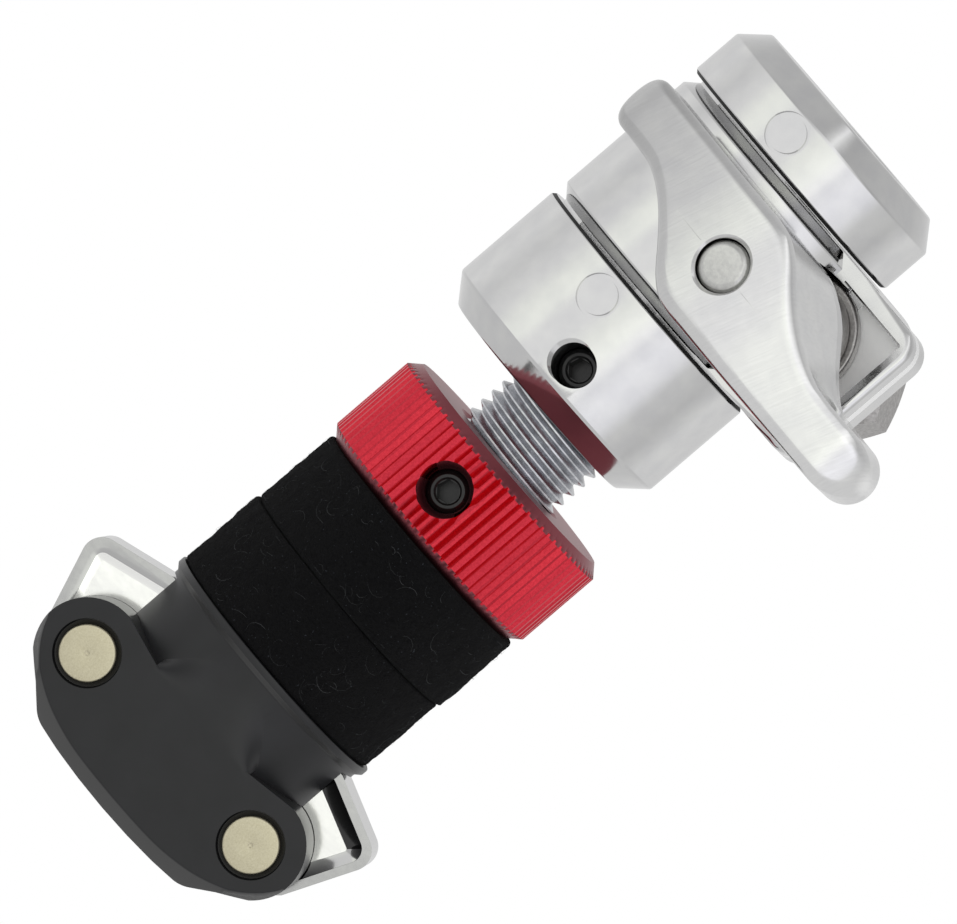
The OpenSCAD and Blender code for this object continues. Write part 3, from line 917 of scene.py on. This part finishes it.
def felt(node, seed, aside):
    """A pressed felt ring: uneven rim, soft edges and stray fibres. It sits slightly to one side."""
    low, high = box_mm(node)
    inner, outer, rim = THREAD_R + 0.2, FELT_R - 0.05, 0.35
    bottom, top = low.z + 0.02, high.z - 0.02
    rng = random.Random(seed)
    shift = Vector([rng.uniform(0, 90) for _ in range(3)])

    def uneven(r, turn, h):
        if r < outer - 2:
            return r
        p = Vector((*polar(r, turn), h))
        wide = noise.noise(p * 0.16 + shift)
        fine = noise.noise(p * 0.9 + shift)
        nap = noise.noise(p * 3.1 + shift)
        return r - 0.05 + 0.2 * wide + 0.1 * fine + 0.06 * nap

    flat = [inner + (outer - rim - inner) * k / 6 for k in range(6)]
    rows = 30
    ring = [(r, bottom) for r in flat] + arc(outer - rim, bottom + rim, rim, -90, 0, 6)
    ring += [(outer, low.z + rim + (high.z - low.z - 2 * rim) * k / rows) for k in range(1, rows)]
    ring += arc(outer - rim, top - rim, rim, 0, 90, 6) + [(r, top) for r in reversed(flat)]
    body = lathe(node + "_ring", ring, about_z(), 300, uneven, 60)
    own = len(body.data.vertices)
    join(body, *[fibre(rng, low.z + 0.5, high.z - 0.5, outer - 0.05) for _ in range(130)])
    lint = body.data.attributes.new("lint", "FLOAT", "POINT")
    lint.data.foreach_set("value", [float(i >= own) for i in range(len(body.data.vertices))])
    body.data.transform(Matrix.Translation((aside * MM, 0, 0)))
    return body


def fibre(rng, z0, z1, r):
    """One stray fibre lying on the felt's rim."""
    turn, z = rng.uniform(0, TURN), rng.uniform(z0, z1)
    heading = rng.uniform(0, TURN)
    length, thick = rng.uniform(0.3, 2.2), rng.choice((0.008, 0.011, 0.016))
    curl = rng.uniform(-2.5, 2.5)
    steps = 5
    verts = []
    for i in range(steps + 1):
        t = i / steps
        angle = heading + curl * t
        radius = r + 0.02 + 0.16 * math.sin(math.pi * t)
        place = turn + length * t * math.cos(angle) / r
        level = min(z1, max(z0, z + length * t * math.sin(angle)))
        centre = Vector((*polar(radius, place), level))
        verts += [centre + Vector((0, *polar(thick, TURN * k / 3))) for k in range(3)]
    return new_object("fibre", verts, ring_faces(3, steps), 60)


# ---------------------------------------------------------------- release unit

def plate_outline():
    """Front outline of the plates: two pin bosses, a hollow upper edge, round heels and a bowed bottom."""
    boss_r = 5.0
    bottom = HOUSING_LOW.z
    right = arc(PIN_X, PIN_Z, boss_r, 90, -44, 26)
    right += [(12.4, bottom + 2.9), (HEEL + 0.4, bottom + 0.7, 3)]
    bow = [(x, bottom + 0.007 * x * x) for x in (6.6, 3.3, 0, -3.3, -6.6)]
    left = [(-x, *rest) for x, *rest in reversed(right)]
    hollow = [(-5.7, PIN_Z + 3.9, 3), (5.7, PIN_Z + 3.9, 3)]
    return rounded([*right, *bow, *left, *hollow], 8)


def lower_face_edge():
    """The curved edge where the plates' front face turns into the bevel under it, from right to left."""
    half = spline([(0, 1.45), (3.0, 1.5), (5.6, 1.65), (7.8, 2.0), (9.9, 2.55), (11.9, 3.4), (13.5, 4.4),
                   (15.2, 6.2), (16.6, 8.6)], 4)
    whole = half[::-1] + [(-x, h) for x, h in half[1:]]
    return [(x, HOUSING_LOW.z + h) for x, h in whole]


def edge_cutter(shear, lift):
    """Cuts the bevel under the front face's lower edge; shear is its fall for each mm backwards."""
    ahead = 2
    edge = [(x, z + lift - ahead * shear) for x, z in lower_face_edge()]
    wide, low = 2 * BEYOND, HOUSING_LOW.z - BEYOND
    region = [*edge, (-wide, edge[-1][1]), (-wide, low), (wide, low), (wide, edge[0][1])]
    return prism("bevel", region, -FACE - ahead, -FACE + 8, shear=shear)


def housing_cutters():
    """The lever slots with their windows into the bore, the pin holes and the bore."""
    top, bottom = HOUSING_HIGH.z, HOUSING_LOW.z
    slot_top, slot_bottom = top - 1.5, bottom + 0.7
    wall_x = BARREL_R + 1.05
    window_x = BARREL_R - 2
    window_top = PIN_Z + 3.5
    cutters = [rod_cutter(BARREL_R, bottom, top, flare_low=0.5, flare_high=0.3)]
    for side in (-1, 1):
        slot = [(wall_x, slot_top), (23, slot_top), (23, slot_bottom), (window_x, slot_bottom),
                (window_x, window_top), (wall_x, window_top)]
        cutters.append(prism("slot", [(side * x, z) for x, z in slot], -SLOT_HALF, SLOT_HALF))
        hole = [(0, -BEYOND), (PIN_R + 0.62, -BEYOND), (PIN_R + 0.62, -FACE - 0.1),
                (PIN_R + 0.45, -FACE + 0.15), (PIN_R + 0.42, -FACE + 0.9), (PIN_R + 0.02, -FACE + 1.0),
                (PIN_R + 0.02, BEYOND), (0, BEYOND)]
        cutters.append(lathe("hole", hole, about_y(side * PIN_X, PIN_Z), 72))
    return cutters


def release_housing():
    """The moulded housing: a flanged neck and two thick plates that carry the levers."""
    top, bottom = HOUSING_HIGH.z, HOUSING_LOW.z
    neck = rounded([(0, bottom), (HEEL, bottom, 0.6), (NECK_R, bottom + 1.4, 0.8), (NECK_R, top - 1.15, 0.3),
                    (FLANGE_R, top - 0.65, 0.15), (FLANGE_R, top, 0.15), (0, top)])
    housing = lathe("release_housing_moulded", neck, about_z(), 200)
    plates = prism("plates", plate_outline(), -FACE, FACE)
    bevel_where(plates, lambda p: abs(p.y) > FACE - 0.01 and p.z > PIN_Z - 2.5, 0.85, 5)
    for shear, lift in ((-1.0, 0), (-2.2, 0.12)):
        front, back = edge_cutter(shear, lift), mirrored(edge_cutter(shear, lift), (0, 1, 0))
        boolean(plates, "DIFFERENCE", [front, back])
    boolean(plates, "DIFFERENCE", housing_cutters())
    boolean(housing, "DIFFERENCE", housing_cutters())
    boolean(housing, "UNION", [plates])
    for half_turn in (0, math.pi):
        boolean(housing, "UNION", [turned(neck_blend(), half_turn)], 40)
    return turned(housing, UNIT_TURN)


def neck_blend():
    """The soft run-out of a plate's upper edge into the round neck, between the two bosses."""
    half, low = 6.4, PIN_Z + 2.6
    across, up = 48, 30
    verts = []
    for i in range(across + 1):
        x = -half + 2 * half * i / across
        round_y = math.sqrt(NECK_R ** 2 - x * x) - 0.02
        length = 2.2 + 5.4 * (1 - (x / half) ** 2)
        for k in range(up + 1):
            z = low + length * k / up
            out = 1 - smoothstep(1.2 / length, 1.0, k / up)
            verts.append((x, -(round_y + (FACE + 0.01 - round_y) * out), z))
        verts += [(x, -8.0, low + length), (x, -8.0, low)]
    return new_object("blend", verts, ring_faces(up + 3, across), 40)


def lever_corners():
    """Corners of the lever's tab, ending low down where the housing hides it."""
    tab_top = HOUSING_HIGH.z - 1.7
    return [(7.5, tab_top), (11.7, tab_top), (19.75, PIN_Z + 6.97), (16.3, PIN_Z - 1.6), (7.5, PIN_Z - 1.6)]


def lever_outline():
    """Side outline of the right lever: tab, pivot and the foot that carries the jaw."""
    tab_top = HOUSING_HIGH.z - 1.7
    foot_x = THREAD_R + 0.08 + 2.2
    jaw_top, jaw_bottom = PIN_Z - 2.4, PIN_Z - 5.8
    tab = [(9.9, tab_top), (11.7, tab_top), *arc(17.25, tab_top - 3.8, 1.9, 68, -18, 12)]
    foot = [(16.3, PIN_Z - 1.6), *arc(PIN_X + 0.2, PIN_Z, 4.75, -35, -75, 10), (foot_x, jaw_bottom),
            (foot_x, jaw_top)]
    return tab + foot + [(7.4, PIN_Z - 1.6), (7.4, PIN_Z + 2.2), (8.6, PIN_Z + 3.6)]


def inset(corners, distance):
    """A clockwise convex outline drawn in by a distance on every side."""
    lines = []
    for i, a in enumerate(corners):
        a, b = Vector(a), Vector(corners[(i + 1) % len(corners)])
        along = (b - a).normalized()
        inwards = Vector((along.y, -along.x)) * distance
        lines.append((a + inwards, along))
    out = []
    for (p, u), (q, v) in zip([lines[-1], *lines[:-1]], lines):
        t = (q - p).cross(v) / u.cross(v)
        out.append(tuple(p + u * t))
    return out


def lever(name, levels):
    """A right lever with rounded edges, a dished face on each side, its pivot hole and its spring's hole."""
    body = prism(name, lever_outline(), -LEVER_HALF, LEVER_HALF)
    bevel_where(body, lambda p: abs(p.y) > LEVER_HALF - 0.01 and p.x > 9 and p.z > PIN_Z - 3, 0.75, 6)
    for side in (-1, 1):
        boolean(body, "DIFFERENCE", [dish(levels, side)])
    hole = y_cutter(PIN_R + 0.05, -9, 9, PIN_X, PIN_Z)
    spring_z = PIN_Z + 6.6
    spring_hole = lathe("spring_hole", [(0, 0), (2.5, 0), (2.5, 11), (2.0, 13.4), (0, 13.4)],
                        lambda r, turn, h: (h, r * math.cos(turn), spring_z + r * math.sin(turn)), 48)
    return boolean(body, "DIFFERENCE", [hole, spring_hole])


def dish(levels, side):
    """A cutter that narrows from a lever's face to its dish's floor.

    levels are (inset, depth, drop) from the rim down to the floor; drop lowers the upper end."""
    rows = []
    for shift, depth, drop in [(levels[0][0], -2, 0), *levels]:
        corners = [(*c, max(0.3, 2.1 - shift)) for c in inset(lever_corners(), shift)]
        y = side * (LEVER_HALF - depth)
        rows.append([(x, y, z - drop * smoothstep(PIN_Z + 4.6, PIN_Z + 6.2, z))
                     for x, z in rounded(corners, 8)])
    return new_object("dish", sum(rows, []), ring_faces(len(rows[0]), len(rows) - 1))


def lever_pin(side):
    """Pivot pin with a rounded front edge and a small centre dimple."""
    front, back = -FACE - 0.1, FACE
    profile = rounded([(0, front + 0.10), (0.14, front + 0.08, 0.05), (0.26, front + 0.005, 0.06),
                       (PIN_R - 0.12, front, 0.12), (PIN_R, front + 0.14, 0.08), (PIN_R, back - 0.3),
                       (PIN_R - 0.3, back), (0, back)], 4)
    name = "left_pin_turned" if side < 0 else "right_pin_turned"
    return turned(lathe(name, profile, about_y(side * PIN_X, PIN_Z), 96), UNIT_TURN)


def spring(node):
    """A coil spring: a copy of the CAD node's wire, shown in its place with its own mesh."""
    wire = bpy.data.objects.new(node + "_wire", frame["nodes"][node].data.copy())
    bpy.context.scene.collection.objects.link(wire)
    stand_for(wire, node)
    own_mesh(wire)


# ---------------------------------------------------------------- scene

def camera():
    """Camera at the photograph's viewing angle: nearly level and rolled, so that the rod slopes."""
    azimuth, elevation = math.radians(22), math.radians(3.2)
    distance, lens_per_metre = 1.0, 417.6
    lateral, height = -1.9, -29.4
    right = Vector((math.cos(azimuth), math.sin(azimuth), 0))
    target = (right * lateral + Vector((0, 0, height))) * MM
    away = Vector((math.sin(azimuth) * math.cos(elevation), -math.cos(azimuth) * math.cos(elevation),
                   math.sin(elevation)))
    data = bpy.data.cameras.new("camera")
    data.sensor_width = 36
    data.lens = lens_per_metre * distance
    data.clip_start, data.clip_end = 0.01, 20
    obj = bpy.data.objects.new("camera", data)
    bpy.context.scene.collection.objects.link(obj)
    up = away.cross(right).normalized()
    level = Matrix((right, up, away)).transposed().to_4x4()
    roll = Matrix.Rotation(math.radians(49.4), 4, "Z")
    obj.matrix_world = Matrix.Translation(target + away * distance) @ level @ roll
    bpy.context.scene.camera = obj


def studio():
    """White studio: panels round the part at fixed directions, seen only in reflections."""
    world = bpy.data.worlds.new("studio")
    bpy.context.scene.world = world
    world.use_nodes = True
    n = Nodes(world.node_tree)
    view = math.radians(22)
    direction = n.add("ShaderNodeTexCoord").outputs["Generated"]
    ahead = n.vector("DOT_PRODUCT", direction, (math.sin(view), -math.cos(view), 0))
    aside = n.vector("DOT_PRODUCT", direction, (math.cos(view), math.sin(view), 0))
    turn = n.math("MULTIPLY_ADD", n.math("ARCTAN2", aside, ahead), 1 / TURN, 0.5)
    green, lilac, plain = (1.0, 1.015, 0.965), (0.985, 0.985, 1.02), (1, 1, 1)
    panels = [(-180, 0.72, plain), (-150, 0.85, plain), (-125, 0.97, plain), (-98, 0.87, plain),
              (-76, 1.0, plain), (-60, 1.22, green), (-48, 1.28, green), (-38, 1.1, plain),
              (-20, 1.1, plain), (-6, 1.25, green), (10, 1.44, green), (18, 1.4, plain), (25, 1.2, lilac),
              (38, 1.3, lilac), (54, 1.15, lilac), (66, 0.84, plain), (90, 0.72, plain),
              (104, 0.85, plain), (114, 0.95, plain), (137, 0.88, plain), (160, 0.76, plain),
              (180, 0.72, plain)]
    strongest = 1.5
    stops = [(angle / 360 + 0.5, grey(level / strongest, tint)[:3]) for angle, level, tint in panels]
    around = n.ramp(turn, stops)
    height = n.xyz(direction)[2]
    box = [(-180, 0.72), (-45, 0.62), (-14, 0.95), (6, 1.35), (28, 0.95), (55, 0.58), (120, 0.70),
           (180, 0.72)]
    over = n.ramp(turn, [(angle / 360 + 0.5, (level / strongest,) * 3) for angle, level in box])
    above = n.fade(height, 0.13, 0.5)
    colour = n.mix(above, around, over)
    below = n.fade(n.math("MULTIPLY", height, -1.0), 0.5, 0.9)
    colour = n.mix(below, colour, grey(0.75 / strongest))
    lit = n.add("ShaderNodeBackground", {0: colour, 1: strongest}).outputs[0]
    white = n.add("ShaderNodeBackground", {0: grey(1), 1: 1.0}).outputs[0]
    seen = n.add("ShaderNodeLightPath").outputs["Is Camera Ray"]
    mixed = n.add("ShaderNodeMixShader", {0: seen, 1: lit, 2: white}).outputs[0]
    output = n.add("ShaderNodeOutputWorld")
    n.tree.links.new(mixed, output.inputs[0])
    bpy.context.scene.view_settings.view_transform = "Standard"


def floor():
    """Plain white floor, well below the part, which is held by its clamp."""
    half, level = 6.0, -0.6
    corners = [(-half, -half, level), (half, -half, level), (half, half, level), (-half, half, level)]
    mesh = bpy.data.meshes.new("floor")
    mesh.from_pydata(corners, [], [[0, 1, 2, 3]])
    obj = bpy.data.objects.new("floor", mesh)
    bpy.context.scene.collection.objects.link(obj)
    material = bpy.data.materials.new("floor")
    material.use_nodes = True
    n = Nodes(material.node_tree)
    seen = n.add("ShaderNodeLightPath").outputs["Is Camera Ray"]
    glow = n.add("ShaderNodeEmission", {0: grey(1), 1: n.math("MULTIPLY_ADD", seen, 0.22, 0.78)})
    output = n.add("ShaderNodeOutputMaterial")
    n.tree.links.new(glow.outputs[0], output.inputs[0])
    mesh.materials.append(material)


camera()
studio()
floor()

stand_for(clamp_body(), "clamp_body")
stand_for(wing_handle(), "wing_handle")
stand_for(wing_bolt(), "wing_bolt")
stand_for(hub_washer(), "hub_washer")
stand_for(hex_nut(), "hex_nut")
stand_for(threaded_tube(), "threaded_tube")
stand_for(set_screw("body_set_screw", BODY_SCREW_TURN), "body_set_screw")
stand_for(set_screw("nut_set_screw", NUT_SCREW_TURN), "nut_set_screw")
stand_for(adjust_nut(), "adjust_nut")
for felt_node, felt_seed, felt_aside in (("upper_felt", 4, 0.12), ("lower_felt", 9, -0.18)):
    ring = felt(felt_node, felt_seed, felt_aside)
    stand_for(ring, felt_node)
stand_for(release_housing(), "release_housing")
shallow = [(0.8, 0, 0), (1.3, 0.045, 0), (2.0, 0.08, 0)]
deep = [(0.8, 0, 0), (0.84, 0.03, 0), (2.0, 0.42, 0.25)]
left = mirrored(lever("left_lever_cast", shallow))
right = lever("right_lever_cast", deep)
stand_for(turned(left, UNIT_TURN), "left_lever")
stand_for(turned(right, UNIT_TURN), "right_lever")
stand_for(lever_pin(-1), "left_pin")
stand_for(lever_pin(1), "right_pin")
spring("left_spring")
spring("right_spring")
for part in RECORD["subparts"]:
    kept = frame["nodes"][part["node"]]
    kept.data.materials.clear()
    kept.data.materials.append(MATERIALS[part["material_slot"]])
